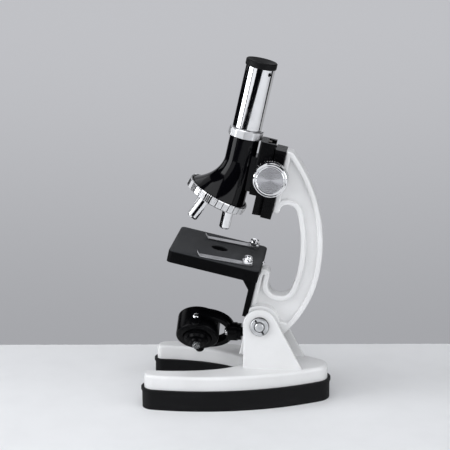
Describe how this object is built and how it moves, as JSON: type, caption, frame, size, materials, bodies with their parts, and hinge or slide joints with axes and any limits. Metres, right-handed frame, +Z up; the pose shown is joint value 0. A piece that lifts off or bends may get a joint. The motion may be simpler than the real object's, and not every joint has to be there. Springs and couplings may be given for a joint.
{
  "type": "student microscope",
  "caption": "Small student microscope: white horseshoe base with a rubber boot, leaning arm, square stage, rack focus, turning nosepiece, slide-out eyepiece and a lamp drum in a fork.",
  "frame": {"origin": "centre of the bounding box on the table, under the base", "axes": "+Z up, +X from the base's toes to its heel, +Y across the stage towards the far side in the picture"},
  "size_m": [0.12, 0.0754, 0.222],
  "materials": {
    "white_paint": "satin white enamel on a casting",
    "boot_rubber": "matte black rubber",
    "gloss_black": "gloss black",
    "satin_black": "satin black",
    "stage_paint": "matte charcoal paint on folded sheet",
    "knob_black": "black with a turned face",
    "chrome": "polished chrome plate",
    "zinc": "zinc-plated steel",
    "spring_steel": "bright spring steel",
    "brass": "machined brass",
    "lamp_black": "satin black moulding",
    "clear": "clear",
    "mirror": "silvered glass"
  },
  "bodies": {
    "base": {"base_casting": "white_paint", "rubber_boot": "boot_rubber", "pivot_bolt": "zinc", "pivot_nut": "zinc", "pivot_washers": "zinc"},
    "arm": {"arm_casting": "white_paint", "stage_plate": "stage_paint", "stage_bracket": "stage_paint", "bracket_screws": "zinc", "stage_screw": "chrome", "clip_screws": "chrome", "guide_block": "satin_black", "guide_screws": "zinc"},
    "focus_pinion": {"pinion_shaft": "zinc", "pinion_gear": "brass", "focus_knob_near": "knob_black", "focus_knob_far": "knob_black"},
    "carriage": {"carriage": "satin_black", "carriage_screws": "zinc", "focus_rack": "brass", "body_tube": "gloss_black", "tube_collar": "chrome", "turret_screw": "zinc", "turret_spring": "spring_steel"},
    "nosepiece": {"nosepiece": "chrome", "objective_low": "chrome", "objective_medium": "chrome", "objective_high": "chrome", "objective_lenses": "clear"},
    "eyepiece": {"eyepiece_tube": "chrome", "eyepiece_cap": "gloss_black", "cap_set_screw": "satin_black", "eye_lens": "clear", "field_lens": "clear", "field_stop": "satin_black"},
    "clip_near": {"stage_clip_near": "spring_steel"},
    "clip_far": {"stage_clip_far": "spring_steel"},
    "lamp_fork": {"lamp_fork": "lamp_black", "fork_stem": "lamp_black", "fork_screw": "chrome", "fork_pins": "chrome"},
    "lamp_drum": {"drum_housing": "lamp_black", "lamp_mirror": "mirror", "mirror_ring": "lamp_black", "lamp_bezel": "lamp_black", "lamp_led": "clear", "button_cells": "spring_steel"}
  },
  "joints": [
    {"name": "arm_tilt", "type": "hinge", "parent": "base", "child": "arm", "pos_m": [0.0149, 0, 0.051], "axis": [0, 1, 0], "range_deg": [-12.6, 32.4]},
    {"name": "focus_slide", "type": "slide", "parent": "arm", "child": "carriage", "axis": [0.2181, 0, 0.9759], "range_m": [-0.012, 0.012]},
    {"name": "focus_knob", "type": "hinge", "parent": "arm", "child": "focus_pinion", "pos_m": [0.02188, 0, 0.14822], "axis": [0, 1, 0], "range_deg": [-165, 165]},
    {"name": "nosepiece_turn", "type": "hinge", "parent": "carriage", "child": "nosepiece", "pos_m": [-0.01438, 0, 0.1325], "axis": [0.4818, 0, 0.8763], "continuous": true},
    {"name": "eyepiece_slide", "type": "slide", "parent": "carriage", "child": "eyepiece", "axis": [0.2181, 0, 0.9759], "range_m": [0, 0.02]},
    {"name": "clip_near_swing", "type": "hinge", "parent": "arm", "child": "clip_near", "pos_m": [0.00749, -0.021, 0.09395], "axis": [-0.2181, 0, -0.9759], "range_deg": [-15, 45]},
    {"name": "clip_far_swing", "type": "hinge", "parent": "arm", "child": "clip_far", "pos_m": [0.00749, 0.021, 0.09395], "axis": [0.2181, 0, 0.9759], "range_deg": [-40, 24]},
    {"name": "lamp_swivel", "type": "hinge", "parent": "arm", "child": "lamp_fork", "pos_m": [-0.0267, 0, 0.0424], "axis": [1, 0, 0], "continuous": true},
    {"name": "lamp_flip", "type": "hinge", "parent": "lamp_fork", "child": "lamp_drum", "pos_m": [-0.0267, 0, 0.0424], "axis": [0, -0.6157, 0.788], "continuous": true}
  ],
  "couplings": [
    {"joint": "focus_knob", "follows": "focus_slide", "rad_per_m": 238.1}
  ]
}
